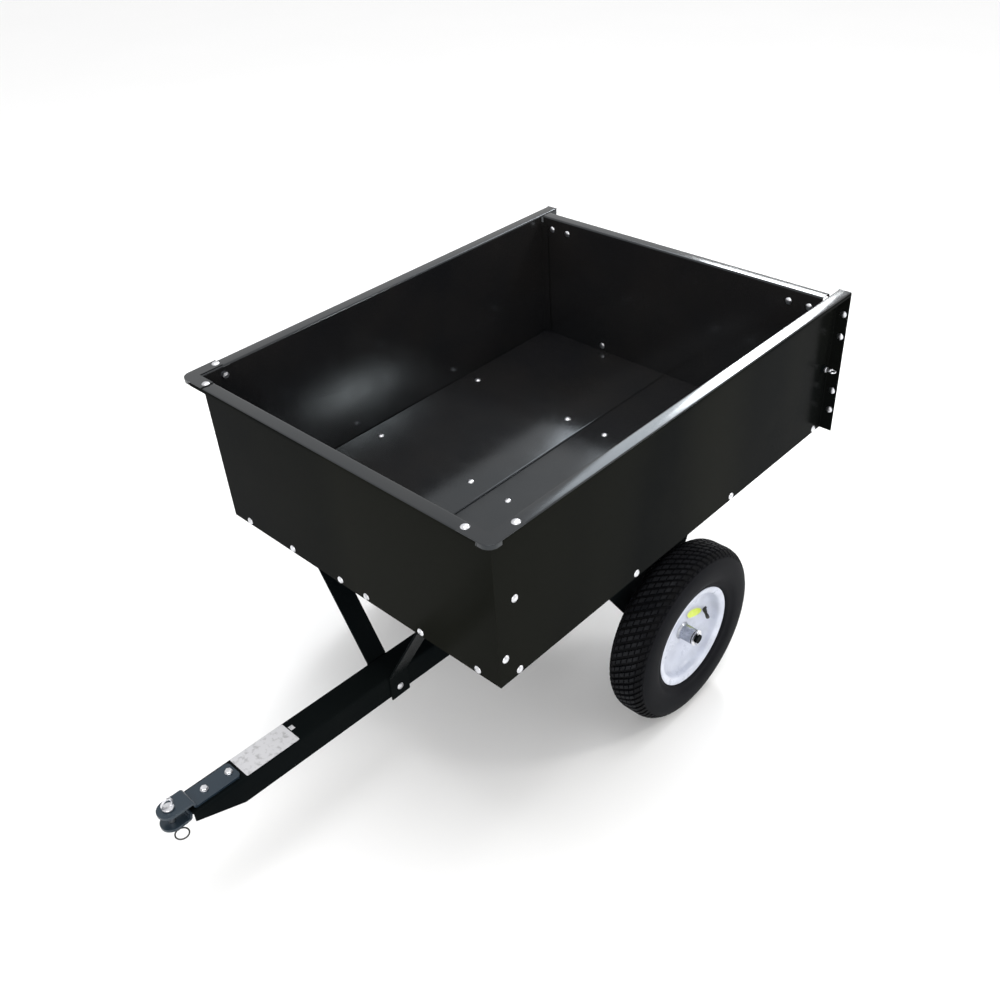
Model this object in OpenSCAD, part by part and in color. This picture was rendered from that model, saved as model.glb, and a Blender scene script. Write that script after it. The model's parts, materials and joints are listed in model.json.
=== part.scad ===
// Tow behind cart: a pressed steel bed on one straight axle, with a channel
// tongue, a pin hitch and a tailgate that lifts out of its guides.
// Units are millimetres. +Z is up, the tongue points along -Y, the ground is Z = 0.

/* [Bed] */
// Width across the outer edges of the side flanges
bed_w = 828; // [700:1:960]
// Length from the front flange edge to the rear corner flanges
bed_l = 1077; // [900:1:1260]
// Height of the rim above the ground
rim_h = 817; // [740:1:900]
// Depth of the walls from the rim to their bottom edge
wall_d = 336; // [270:1:400]
// Width of the horizontal rim flanges
flange = 28; // [22:1:34]
// Depth of the turned-down lip along the rim
lip = 8; // [5:1:12]
// Thickness of the bed sheets
sheet = 2; // [1.5:0.1:3]
// Depth of the folded edges under the floor
floor_edge = 25; // [20:1:32]

/* [Wheels] */
// Outer diameter of the tyres
tyre_d = 406; // [360:1:440]
// Width of each tyre
tyre_w = 98; // [84:1:112]
// Bead seat diameter of the rims
rim_d = 203; // [180:1:220]
// Diameter of the axle
axle_d = 20; // [16:0.5:24]
// Radial running clearance between axle and bush
run_gap = 0.06; // [0.02:0.01:0.1]

/* [Tongue] */
// Length of the tongue and clevis ahead of the front flange
nose = 460; // [400:1:520]
// Width of the tongue channel
tongue_w = 63; // [55:1:75]
// Height of the tongue channel
tongue_h = 56; // [50:1:68]
// Wall thickness of the tongue channel
tongue_t = 3; // [2.5:0.1:4]
// Rise of the tongue towards the hitch, in degrees
tongue_rise = 2.3; // [1:0.1:3.5]
// Diameter of the hitch pin
hitch_d = 12.6; // [10:0.1:16]
// Opening of the clevis between its two ears
clevis_gap = 26; // [22:1:34]

/* [Fasteners] */
// Diameter of the bolts
bolt_d = 8; // [6:0.5:10]
// Diameter of the tailgate retaining pins
keep_d = 8; // [6:0.5:10]

/* [Hidden] */

black = [0.04, 0.04, 0.045];
zinc = [0.72, 0.73, 0.75];
pale = [0.78, 0.79, 0.8];
rubber = [0.03, 0.03, 0.03];

wall_x = bed_w / 2 - flange;
in_x = wall_x - sheet;
bot_z = rim_h - wall_d;
floor_z = bot_z + floor_edge;
under_z = floor_z - sheet;
gate_y = bed_l - 57;
floor_end = bed_l - 17;
front_end = nose * cos(tongue_rise) + 20 * sin(tongue_rise);
mid_y = (bed_l + 7.2 - front_end) / 2;
axle_z = tyre_d / 2;
axle_r = axle_d / 2;
axle_y = round(bed_l * 0.544);
row_a = axle_y - 183;
row_b = axle_y + 134;
wheel_x = wall_x - 17;
brk_x = wheel_x - tyre_w / 2 - 20;
brk_t = 4;
foot_z = under_z - brk_t;
out_bolt_x = brk_x + 42;
in_bolt_x = tongue_w / 2 + 22.5;
brace_x = round(wall_x * 0.484);
brace_y = flange + 47;
end_x = wheel_x + 51;
tw = tongue_w / 2;
tongue_z = axle_z + 26 + axle_y * tan(tongue_rise);
keep_y = bed_l - 27;
keep_z = rim_h - 175;
bolt_r = bolt_d / 2;
hole_r = bolt_r + 0.1;
side_row_z = bot_z + 9;
pin_y = -nose + 22;
ear_t = 6;

// Places a shape drawn from the front flange edge into the part frame.
module placed() translate([0, -mid_y, 0]) children();

// Local frame of the tongue: y runs along it and z = 0 is its top face.
module on_tongue() translate([0, 0, tongue_z]) rotate([-tongue_rise, 0, 0]) children();

// Round-head bolt pointing along +Z with its nut after the grip.
module bolt(grip) {
    translate([0, 0, -3.4]) cylinder(r = bolt_r * 1.95, h = 3.4);
    cylinder(r = bolt_r, h = grip + 7.2);
    translate([0, 0, grip]) cylinder(r = bolt_r * 1.75, h = 5.6, $fn = 6);
}

module drill(long) translate([0, 0, -1]) cylinder(r = hole_r, h = long + 2);

module along_y(p) translate(p) rotate([-90, 0, 0]) children();
module along_x(p) translate(p) rotate([0, 90, 0]) children();
module against_x(p) translate(p) rotate([0, -90, 0]) children();
module down_z(p) translate(p) rotate([180, 0, 0]) children();

front_x = [38, brace_x, round(wall_x * 0.857)];
side_y = [flange + 48, row_a, row_b, bed_l - 30];
wall_bolts = [[flange + 50, rim_h - 19], [flange + 46, rim_h - 163], [flange + 16, rim_h - 279]];
rear_z = [rim_h - 52, rim_h - 104, rim_h - 236, rim_h - 284];

module front_drills() {
    for (x = front_x) {
        for (s = [-1, 1]) along_y([s * x, flange, side_row_z]) drill(12);
    }
}

module side_drills() {
    for (y = side_y) against_x([wall_x, y, side_row_z]) drill(8);
    for (p = wall_bolts) against_x([wall_x, p[0], p[1]]) drill(8);
}

module floor_drills() {
    for (x = [in_bolt_x, out_bolt_x]) {
        for (y = [row_a, row_b]) down_z([x, y, floor_z]) drill(10);
    }
}

module front_panel() {
    color(black) placed() difference() {
        union() {
            translate([-in_x, flange, bot_z]) cube([2 * in_x, sheet, wall_d]);
            translate([-wall_x, 0, rim_h - sheet]) cube([2 * wall_x, flange + sheet, sheet]);
            translate([-wall_x, 0, rim_h - lip]) cube([2 * wall_x, sheet, lip]);
            for (s = [0, 1]) mirror([s, 0, 0])
                translate([in_x - sheet, flange, floor_z + 0.5])
                    cube([sheet, 66, rim_h - floor_z - 0.5]);
        }
        front_drills();
        for (s = [0, 1]) mirror([s, 0, 0]) side_drills();
        for (s = [-1, 1]) down_z([s * (wall_x - 38), 15, rim_h]) drill(6);
        for (s = [0, 1]) mirror([s, 0, 0])
            translate([in_x, flange - 1, rim_h - lip - 3]) cube([4, 20, lip + 4]);
    }
}

// One side wall with its flange, lip and the vertical flange at its rear end.
module side_wall() {
    difference() {
        union() {
            translate([in_x, flange, bot_z]) cube([sheet, bed_l - flange, wall_d]);
            translate([in_x, flange + sheet, rim_h - sheet])
                cube([flange + sheet, bed_l - flange - sheet, sheet]);
            translate([bed_w / 2 - sheet, flange + sheet, rim_h - lip])
                cube([sheet, bed_l - flange - sheet, lip]);
            translate([in_x, bed_l - sheet, bot_z]) cube([flange + sheet, sheet, wall_d]);
        }
        side_drills();
        for (z = rear_z) along_y([wall_x + 17, bed_l - sheet, z]) drill(8);
        down_z([wall_x + 14, flange + 45, rim_h]) drill(6);
        against_x([wall_x, keep_y, keep_z]) translate([0, 0, -2])
            cylinder(r = keep_d / 2 + 0.08, h = 12);
    }
}

module side_panel_left() {
    color(black) placed() side_wall();
}

module side_panel_right() {
    color(black) placed() mirror([1, 0, 0]) side_wall();
}

// One half of the floor: a shallow tray turned upside down.
module floor_half() {
    difference() {
        translate([0, flange + sheet, bot_z])
            cube([in_x, floor_end - flange - sheet, floor_edge]);
        translate([sheet, flange + 2 * sheet, bot_z - 1])
            cube([in_x - 2 * sheet, floor_end - flange - 3 * sheet, floor_edge - sheet + 1]);
        floor_drills();
        side_drills();
        front_drills();
    }
}

module floor_left() {
    color(black) placed() floor_half();
}

module floor_right() {
    color(black) placed() mirror([1, 0, 0]) floor_half();
}

module corner_outline(inset) {
    r = 20;
    w = bed_w / 2 - inset;
    difference() {
        union() {
            translate([wall_x - 44, inset]) square([w - wall_x + 44, flange - inset]);
            translate([wall_x, inset]) square([w - wall_x, 81 - inset]);
        }
        translate([w - r + inset, inset]) difference() {
            translate([0, -1]) square([r + 1 - inset, r + 1 - inset]);
            translate([0, r - inset]) circle(r = r - inset);
        }
    }
}

// Plate that ties the front flange to a side flange, with a lip round the corner.
module corner_plate() {
    difference() {
        union() {
            translate([0, 0, rim_h]) linear_extrude(sheet) corner_outline(0);
            translate([0, 0, rim_h - lip]) linear_extrude(lip + 0.5) intersection() {
                difference() {
                    corner_outline(0);
                    corner_outline(sheet);
                }
                translate([wall_x + 0.2, -1]) square([flange + 1, flange + 0.8]);
            }
        }
        down_z([wall_x - 38, 15, rim_h + sheet]) drill(6);
        down_z([wall_x + 14, flange + 45, rim_h + sheet]) drill(6);
    }
}

module corner_plate_left() {
    color(black) placed() corner_plate();
}

module corner_plate_right() {
    color(black) placed() mirror([1, 0, 0]) corner_plate();
}

// Upright channel inside the side wall that the tailgate slides in.
module guide() {
    translate([in_x - 20, gate_y - 5, floor_z]) difference() {
        cube([20, 13, rim_h - 20 - floor_z]);
        translate([-1, 2, -1]) cube([19, 9, wall_d]);
    }
}

module tailgate_guide_left() {
    color(black) placed() guide();
}

module tailgate_guide_right() {
    color(black) placed() mirror([1, 0, 0]) guide();
}

gate_half = in_x - 4;
gate_bolts = [[gate_half - 76, rim_h - 29], [gate_half - 28, rim_h - 29], [195, floor_z + 13]];

module gate_drills() {
    for (p = gate_bolts) {
        for (s = [-1, 1]) along_y([s * p[0], gate_y, p[1]]) drill(8);
    }
}

module tailgate() {
    color(black) placed() difference() {
        union() {
            translate([-gate_half, gate_y, floor_z + 0.5])
                cube([2 * gate_half, sheet, rim_h - floor_z - 0.5]);
            translate([-gate_half, gate_y, rim_h - sheet])
                cube([2 * gate_half, flange, sheet]);
            translate([-gate_half, gate_y + flange - sheet, rim_h - lip])
                cube([2 * gate_half, sheet, lip]);
        }
        gate_drills();
    }
}

module gate_bracket() {
    difference() {
        translate([gate_half - 92, gate_y + sheet, rim_h - 44]) cube([74, 2.5, 34]);
        gate_drills();
    }
}

module tailgate_bracket_left() {
    color(black) placed() gate_bracket();
}

module tailgate_bracket_right() {
    color(black) placed() mirror([1, 0, 0]) gate_bracket();
}

module tailgate_rail() {
    color(black) placed() difference() {
        union() {
            translate([20 - in_x + 4, gate_y + sheet, floor_z + 1])
                cube([2 * in_x - 48, 2.5, 28]);
            translate([20 - in_x + 4, gate_y + sheet, floor_z + 1])
                cube([2 * in_x - 48, 16, 2.5]);
        }
        gate_drills();
    }
}

module tailgate_bolts() {
    color(zinc) placed() for (p = gate_bolts) {
        for (s = [-1, 1]) along_y([s * p[0], gate_y, p[1]]) bolt(sheet + 2.5);
    }
}

// Guide collar of a retaining pin, on the outside of the side wall.
module collar() {
    along_x([wall_x, keep_y, keep_z]) difference() {
        cylinder(r = keep_d, h = 6);
        translate([0, 0, -1]) cylinder(r = keep_d / 2 + 0.08, h = 8);
    }
}

module pin_collar_left() {
    color(zinc) placed() collar();
}

module pin_collar_right() {
    color(zinc) placed() mirror([1, 0, 0]) collar();
}

// Straight pin with a pull ring at its outer end.
module keep_pin() {
    along_x([in_x - 8, keep_y, keep_z]) {
        cylinder(r = keep_d / 2, h = 29);
        translate([0, 0, 17]) cylinder(r = keep_d * 0.8, h = 3);
        translate([0, 0, 28 + keep_d * 0.7]) rotate([90, 0, 0])
            rotate_extrude() translate([keep_d * 0.85, 0]) circle(r = 1.6);
    }
}

module retaining_pin_left() {
    color(zinc) placed() keep_pin();
}

module retaining_pin_right() {
    color(zinc) placed() mirror([1, 0, 0]) keep_pin();
}

module on_axle() translate([0, axle_y, axle_z]) rotate([0, 90, 0]) children();

module axle_hole() {
    translate([-bed_w, axle_y, axle_z]) rotate([0, 90, 0])
        cylinder(r = axle_r + 0.05, h = 2 * bed_w);
}

// Side view of a hanger plate between the floor and a low point.
module hanger(half, low) {
    top = foot_z + 1;
    polygon([[row_a - 58, top], [row_a - 58, bot_z - 2], [axle_y - 101, axle_z + 71],
        [axle_y - half, axle_z - 10], [axle_y - half, low], [axle_y + half, low],
        [axle_y + half, axle_z - 10], [row_b + 30, bot_z - 2], [row_b + 30, top]]);
}

// Plate standing across X at x0, drawn from a Y-Z outline.
module upright(x0, t) {
    translate([x0, 0, 0]) rotate([90, 0, 90]) linear_extrude(t) children();
}

module axle_hanger() {
    difference() {
        union() {
            upright(brk_x - brk_t / 2, brk_t) hanger(41, axle_z - 36);
            translate([brk_x - brk_t / 2, row_a - 58, foot_z])
                cube([60, row_b - row_a + 88, brk_t]);
        }
        axle_hole();
        floor_drills();
    }
}

module axle_bracket_left() {
    color(black) placed() axle_hanger();
}

module axle_bracket_right() {
    color(black) placed() mirror([1, 0, 0]) axle_hanger();
}

module tongue_hanger() {
    difference() {
        union() {
            upright(tw, brk_t) hanger(62, axle_z - 22);
            translate([tw, row_a - 58, foot_z]) cube([40, row_b - row_a + 88, brk_t]);
        }
        axle_hole();
        floor_drills();
        tongue_drills();
    }
}

module tongue_bracket_left() {
    color(black) placed() tongue_hanger();
}

module tongue_bracket_right() {
    color(black) placed() mirror([1, 0, 0]) tongue_hanger();
}

module axle() {
    color(black) placed() difference() {
        on_axle() translate([0, 0, -end_x]) cylinder(r = axle_r, h = 2 * end_x);
        for (s = [-1, 1]) translate([s * (end_x - 4), axle_y, axle_z - 30])
            cylinder(r = 1.7, h = 60);
    }
}

module ring_x(x0, len, ro, ri) {
    translate([x0, axle_y, axle_z]) rotate([0, 90, 0]) difference() {
        cylinder(r = ro, h = len);
        translate([0, 0, -1]) cylinder(r = ri, h = len + 2);
    }
}

module axle_spacers() {
    color(zinc) placed() for (s = [0, 1]) mirror([s, 0, 0])
        ring_x(brk_x + brk_t / 2, wheel_x - 61.5 - brk_x - brk_t / 2 + tyre_gap,
            axle_r + 6, axle_r + 0.05);
}

module axle_washers() {
    color(zinc) placed() for (s = [0, 1]) mirror([s, 0, 0])
        ring_x(wheel_x + 42.5, 2, axle_r + 8, axle_r + 0.05);
}

module cotter_pins() {
    color(zinc) placed() for (s = [-1, 1]) translate([s * (end_x - 4), axle_y, axle_z - 19]) {
        cylinder(r = 1.6, h = 36);
        translate([0, 0, 38.5]) rotate([0, 90, 0])
            rotate_extrude() translate([3, 0]) circle(r = 1.4);
    }
}

tyre_gap = 49 - tyre_w / 2;
hub_in = -61 + tyre_gap;
mark_y = -172;
knee_y = -308;
tongue_tip = -nose + 52;
plate_y = -nose + 160;
tongue_bolt_y = [axle_y - 45, axle_y + 45];

module tongue_drills() {
    for (y = tongue_bolt_y) along_x([-60, y, axle_z]) drill(120);
    along_x([-60, brace_y, tongue_z - 42]) drill(120);
}

module tongue() {
    color(black) placed() difference() {
        on_tongue() difference() {
            translate([-tw, 0, 0]) rotate([90, 0, 90]) linear_extrude(tongue_w)
                polygon([[row_b + 40, 0], [row_b + 40, -tongue_h], [knee_y, -tongue_h],
                    [tongue_tip, -18], [tongue_tip, 0]]);
            translate([tongue_t - tw, -nose, -tongue_h - 10])
                cube([tongue_w - 2 * tongue_t, nose + row_b + 60, tongue_h + 10 - tongue_t]);
            hitch_drills();
        }
        axle_hole();
        tongue_drills();
    }
}

// Bent strap from the side of the tongue up to the underside of the floor.
module strap() {
    low = tongue_z - 66;
    bend = tongue_z - 6;
    x1 = brace_x - 12;
    translate([0, brace_y + 24, 0]) rotate([90, 0, 0]) linear_extrude(48) union() {
        polygon([[tw, low], [tw + brk_t, low], [tw + brk_t, bend], [x1 + 5, under_z - brk_t],
            [x1 + 5, under_z], [x1, under_z], [tw, bend + 2]]);
        translate([x1 + 1, under_z - brk_t]) square([40, brk_t]);
    }
    translate([x1 + 1, flange + 2 * sheet, under_z - brk_t])
        cube([40, brace_y - flange - 2 * sheet, brk_t]);
    translate([x1 + 1, flange + 2 * sheet, bot_z + 1]) cube([40, brk_t, under_z - bot_z - 1]);
}

module brace_left() {
    color(black) placed() difference() {
        strap();
        tongue_drills();
        front_drills();
    }
}

module brace_right() {
    color(black) placed() mirror([1, 0, 0]) difference() {
        strap();
        tongue_drills();
        front_drills();
    }
}

hitch_bolt_y = [-nose + 147, -nose + 94];

module hitch_drills() {
    for (y = hitch_bolt_y) translate([0, y, -60]) cylinder(r = hole_r, h = 90);
}

module pin_hole() {
    translate([0, pin_y, -90]) cylinder(r = hitch_d / 2 + 0.08, h = 140);
}

// Outline of a hitch strap seen from above, rounded at both ends.
module strap_outline(half, y0, y1) {
    union() {
        translate([-half, y0 + half]) square([2 * half, y1 - y0 - half - 8]);
        translate([0, y0 + half]) circle(r = half);
        translate([-half + 8, y1 - 9]) square([2 * half - 16, 9]);
        translate([-half + 8, y1 - 8]) circle(r = 8);
        translate([half - 8, y1 - 8]) circle(r = 8);
    }
}

ear_low = -20;
ear_high = ear_low + ear_t + clevis_gap;
step_y = -nose + 64;

module ear_outline() {
    translate([-22, -nose + 22]) square([44, step_y + nose - 22]);
    translate([0, -nose + 22]) circle(r = 22);
}

// Upper hitch strap: it lies on the tongue and steps up to the upper ear.
module hitch_plate() {
    color(black) placed() on_tongue() difference() {
        union() {
            linear_extrude(ear_t) difference() {
                strap_outline(22, -nose, plate_y);
                translate([-30, -nose - 1]) square([60, step_y + nose - 5]);
            }
            translate([-22, step_y - 6, 0]) cube([44, 6, ear_high + ear_t]);
            translate([0, 0, ear_high]) linear_extrude(ear_t) ear_outline();
        }
        hitch_drills();
        pin_hole();
    }
}

// Lower hitch strap: it lies under the tongue's top wall and steps down to the lower ear.
module hitch_clevis() {
    low_y = tongue_tip - 4;
    color(black) placed() on_tongue() difference() {
        union() {
            translate([-22, low_y, -tongue_t - 5]) cube([44, plate_y - low_y - 8, 5]);
            translate([-22, low_y - 2, ear_low]) cube([44, 6, -ear_low - tongue_t]);
            translate([0, 0, ear_low]) linear_extrude(ear_t) union() {
                translate([-22, -nose + 22]) square([44, low_y + nose - 20]);
                translate([0, -nose + 22]) circle(r = 22);
            }
        }
        hitch_drills();
        pin_hole();
    }
}

module hitch_bolts() {
    color(zinc) placed() on_tongue() for (y = hitch_bolt_y) {
        translate([0, y, ear_t]) cylinder(r = bolt_r * 1.9, h = 5.3, $fn = 6);
        translate([0, y, -tongue_t - 14]) cylinder(r = bolt_r, h = ear_t + tongue_t + 15);
        translate([0, y, -tongue_t - 11.6]) cylinder(r = bolt_r * 1.75, h = 6.6, $fn = 6);
    }
}

pin_low = ear_low - 12;
clip_z = ear_low - 5;

module hitch_pin() {
    top = ear_high + ear_t;
    color(zinc) placed() on_tongue() difference() {
        union() {
            translate([0, pin_y, pin_low]) cylinder(r = hitch_d / 2, h = top - pin_low + 5);
            translate([0, pin_y, top + 0.5]) cylinder(r = hitch_d * 0.85, h = 5);
            translate([0, pin_y, top + 13]) rotate([90, 0, 90])
                rotate_extrude() translate([10, 0]) circle(r = 2.5);
        }
        translate([-20, pin_y, clip_z]) rotate([0, 90, 0]) cylinder(r = 1.9, h = 40);
    }
}

module hitch_clip() {
    color(zinc) placed() on_tongue() {
        translate([-16, pin_y, clip_z]) rotate([0, 90, 0]) cylinder(r = 1.5, h = 34);
        translate([29, pin_y, clip_z]) rotate_extrude() translate([12.6, 0]) circle(r = 1.5);
    }
}

module tongue_label() {
    color(pale) placed() on_tongue() translate([-tw + 3, mark_y - 121, 0])
        cube([tongue_w - 6, 121, 0.4]);
}

module rim_bolts() {
    color(zinc) placed() for (s = [0, 1]) mirror([s, 0, 0]) {
        down_z([wall_x - 38, 15, rim_h + sheet]) bolt(2 * sheet);
        down_z([wall_x + 14, flange + 45, rim_h + sheet]) bolt(2 * sheet);
    }
}

module front_bolts() {
    color(zinc) placed() for (s = [-1, 1]) {
        along_y([s * front_x[0], flange, side_row_z]) bolt(2 * sheet);
        along_y([s * front_x[1], flange, side_row_z]) bolt(2 * sheet + brk_t);
        along_y([s * front_x[2], flange, side_row_z]) bolt(2 * sheet);
    }
}

module side_bolts() {
    color(zinc) placed() for (s = [0, 1]) mirror([s, 0, 0]) {
        for (y = side_y) against_x([wall_x, y, side_row_z]) bolt(2 * sheet);
        for (p = wall_bolts) against_x([wall_x, p[0], p[1]]) bolt(2 * sheet);
    }
}

module rear_bolts() {
    color(zinc) placed() for (s = [0, 1]) mirror([s, 0, 0]) {
        for (z = rear_z) along_y([wall_x + 17, bed_l - sheet, z]) bolt(sheet);
    }
}

module floor_bolts() {
    color(zinc) placed() for (s = [0, 1]) mirror([s, 0, 0]) {
        for (x = [in_bolt_x, out_bolt_x]) {
            for (y = [row_a, row_b]) down_z([x, y, floor_z]) bolt(sheet + brk_t);
        }
    }
}

module tongue_bolts() {
    color(zinc) placed() {
        for (y = tongue_bolt_y) against_x([tw + brk_t, y, axle_z]) bolt(tongue_w + 2 * brk_t);
        against_x([tw + brk_t, brace_y, tongue_z - 42]) bolt(tongue_w + 2 * brk_t);
    }
}

seat = rim_d / 2;
tyre_r = tyre_d / 2;
crown = tyre_r - seat;
half_w = tyre_w / 2;

// A wheel is drawn about Z, with +Z pointing away from the cart.
module wheel_at() translate([wheel_x, axle_y, axle_z]) rotate([0, 90, 0]) children();

module tyre_half() {
    polygon([[seat + 0.5, -1], [seat + 0.5, 22], [seat + 0.5, 31], [seat + 15, 33],
        [seat + crown * 0.27, half_w - 8], [seat + crown * 0.41, half_w - 1.6],
        [seat + crown * 0.57, half_w], [seat + crown * 0.73, half_w - 1.4],
        [seat + crown * 0.85, half_w - 6], [tyre_r - 6, half_w - 14],
        [tyre_r - 1.4, half_w - 23], [tyre_r, half_w - 31], [tyre_r, -1]]);
}

module tyre_cavity() {
    polygon([[seat - 1, -23], [seat + 6, -23], [seat + crown * 0.24, 17 - half_w],
        [seat + crown * 0.42, 10 - half_w], [seat + crown * 0.62, 8.5 - half_w],
        [tyre_r - 18, 18 - half_w], [tyre_r - 11, 29 - half_w], [tyre_r - 11, half_w - 29],
        [tyre_r - 18, half_w - 18], [seat + crown * 0.62, half_w - 8.5],
        [seat + crown * 0.42, half_w - 10], [seat + crown * 0.24, half_w - 17],
        [seat + 6, 23], [seat - 1, 23]]);
}

module tyre() {
    rotate_extrude() difference() {
        union() {
            tyre_half();
            mirror([0, 1]) tyre_half();
        }
        tyre_cavity();
        for (s = [-1, 1]) translate([tyre_r - 5, s * 13 - 2]) square([6, 4]);
    }
}

// One pressed half of the rim: disc, well, bead seat and flange.
module rim_half() {
    rotate_extrude() polygon([[seat + 15.5, 34.8], [seat + 4, 33.4], [seat, 30.8], [seat, 20],
        [seat - 6.5, 16.5], [seat - 6.5, 0], [hub_r + 0.1, 0], [hub_r + 0.1, 2.5],
        [seat - 9, 2.5], [seat - 9, 18], [seat - 2.5, 21.5], [seat - 2.5, 31.8],
        [seat + 2.8, 35.8], [seat + 15.5, 37.2]]);
}

hub_r = axle_r + 7;

module hub() {
    difference() {
        union() {
            translate([0, 0, hub_in + 2.5]) cylinder(r = hub_r, h = 37 - hub_in);
            translate([0, 0, 2.5]) cylinder(r = hub_r + 12, h = 3);
            translate([0, 0, -5.5]) cylinder(r = hub_r + 12, h = 3);
        }
        translate([0, 0, -100]) cylinder(r = axle_r + 3.05, h = 200);
    }
}

module bush_pair() {
    difference() {
        union() {
            translate([0, 0, hub_in]) cylinder(r = hub_r, h = 2.5);
            translate([0, 0, hub_in]) cylinder(r = axle_r + 3, h = 27);
            translate([0, 0, 39.5]) cylinder(r = hub_r, h = 2.5);
            translate([0, 0, 15]) cylinder(r = axle_r + 3, h = 27);
        }
        translate([0, 0, -100]) cylinder(r = axle_r + run_gap, h = 200);
    }
}

// Valve stem on the slope of the dish, leaning towards the hub.
module valve() {
    rotate([0, 0, 95]) difference() {
        translate([seat - 20, 0, 6.4]) rotate([0, -38, 0]) {
            cylinder(r = 7, h = 3);
            cylinder(r = 4.8, h = 14);
            cylinder(r = 3.4, h = 26);
            translate([0, 0, 22]) cylinder(r = 4.4, h = 8);
        }
        translate([seat - 40, -20, -10]) cube([40, 40, 12.55]);
    }
}

module tyre_left() {
    color(rubber) placed() wheel_at() tyre();
}

module rim_outer_left() {
    color(pale) placed() wheel_at() rim_half();
}

module rim_inner_left() {
    color(pale) placed() wheel_at() mirror([0, 0, 1]) rim_half();
}

module hub_left() {
    color(zinc) placed() wheel_at() hub();
}

module bushes_left() {
    color(rubber) placed() wheel_at() bush_pair();
}

module valve_left() {
    color(rubber) placed() wheel_at() valve();
}

module tyre_right() {
    color(rubber) placed() mirror([1, 0, 0]) wheel_at() tyre();
}

module rim_outer_right() {
    color(pale) placed() mirror([1, 0, 0]) wheel_at() rim_half();
}

module rim_inner_right() {
    color(pale) placed() mirror([1, 0, 0]) wheel_at() mirror([0, 0, 1]) rim_half();
}

module hub_right() {
    color(zinc) placed() mirror([1, 0, 0]) wheel_at() hub();
}

module bushes_right() {
    color(rubber) placed() mirror([1, 0, 0]) wheel_at() bush_pair();
}

module valve_right() {
    color(rubber) placed() mirror([1, 0, 0]) wheel_at() valve();
}

front_panel();
side_panel_left();
side_panel_right();
floor_left();
floor_right();
corner_plate_left();
corner_plate_right();
tailgate_guide_left();
tailgate_guide_right();
tailgate();
tailgate_bracket_left();
tailgate_bracket_right();
tailgate_rail();
tailgate_bolts();
pin_collar_left();
pin_collar_right();
retaining_pin_left();
retaining_pin_right();
axle_bracket_left();
axle_bracket_right();
tongue_bracket_left();
tongue_bracket_right();
axle();
axle_spacers();
axle_washers();
cotter_pins();
tongue();
brace_left();
brace_right();
hitch_plate();
hitch_clevis();
hitch_bolts();
hitch_pin();
hitch_clip();
tongue_label();
rim_bolts();
front_bolts();
side_bolts();
rear_bolts();
floor_bolts();
tongue_bolts();
tyre_left();
rim_outer_left();
rim_inner_left();
hub_left();
bushes_left();
valve_left();
tyre_right();
rim_outer_right();
rim_inner_right();
hub_right();
bushes_right();
valve_right();
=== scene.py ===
import json
import math

import bmesh
import bpy
from mathutils import Matrix, Vector


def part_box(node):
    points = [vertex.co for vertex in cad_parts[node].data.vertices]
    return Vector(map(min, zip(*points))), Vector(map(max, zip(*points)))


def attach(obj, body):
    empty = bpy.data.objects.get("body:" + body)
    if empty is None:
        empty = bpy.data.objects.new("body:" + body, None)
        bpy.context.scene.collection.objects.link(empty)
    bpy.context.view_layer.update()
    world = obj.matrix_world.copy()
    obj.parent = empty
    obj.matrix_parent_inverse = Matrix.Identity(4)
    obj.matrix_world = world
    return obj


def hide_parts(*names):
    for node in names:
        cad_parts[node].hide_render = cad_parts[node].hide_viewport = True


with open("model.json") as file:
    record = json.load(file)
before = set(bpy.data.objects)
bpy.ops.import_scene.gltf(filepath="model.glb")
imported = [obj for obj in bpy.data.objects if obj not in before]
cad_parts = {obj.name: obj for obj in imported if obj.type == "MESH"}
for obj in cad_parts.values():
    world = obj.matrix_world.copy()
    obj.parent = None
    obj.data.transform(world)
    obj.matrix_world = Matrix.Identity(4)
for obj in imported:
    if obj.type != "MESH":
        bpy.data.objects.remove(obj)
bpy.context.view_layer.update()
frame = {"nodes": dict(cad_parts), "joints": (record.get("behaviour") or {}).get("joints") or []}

MM = 0.001

# ---------------------------------------------------------------- shader sums


class Field:
    """A shader socket that takes part in Python sums."""

    def __init__(self, tree, socket):
        self.tree = tree
        self.socket = socket

    def math(self, operation, *values):
        return add_node(self.tree, "ShaderNodeMath", {"operation": operation},
                        dict(enumerate(values)))

    def __add__(self, other):
        return self.math("ADD", self, other)

    __radd__ = __add__

    def __sub__(self, other):
        return self.math("SUBTRACT", self, other)

    def __rsub__(self, other):
        return self.math("SUBTRACT", other, self)

    def __mul__(self, other):
        return self.math("MULTIPLY", self, other)

    __rmul__ = __mul__

    def clamp(self):
        return self.math("MINIMUM", self.math("MAXIMUM", self, 0.0), 1.0)

    def ramp(self, low, high):
        """0 at low, 1 at high, straight between."""
        return ((self - low) * (1.0 / (high - low))).clamp()


def add_node(tree, kind, settings=None, values=None, output=0):
    """Add one node: its settings first, then its sockets' values or links."""
    node = tree.nodes.new(kind)
    for key, value in (settings or {}).items():
        setattr(node, key, value)
    for key, value in (values or {}).items():
        socket = node.inputs[key]
        if isinstance(value, Field):
            tree.links.new(value.socket, socket)
        else:
            socket.default_value = value
    return Field(tree, node.outputs[output])


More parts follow.
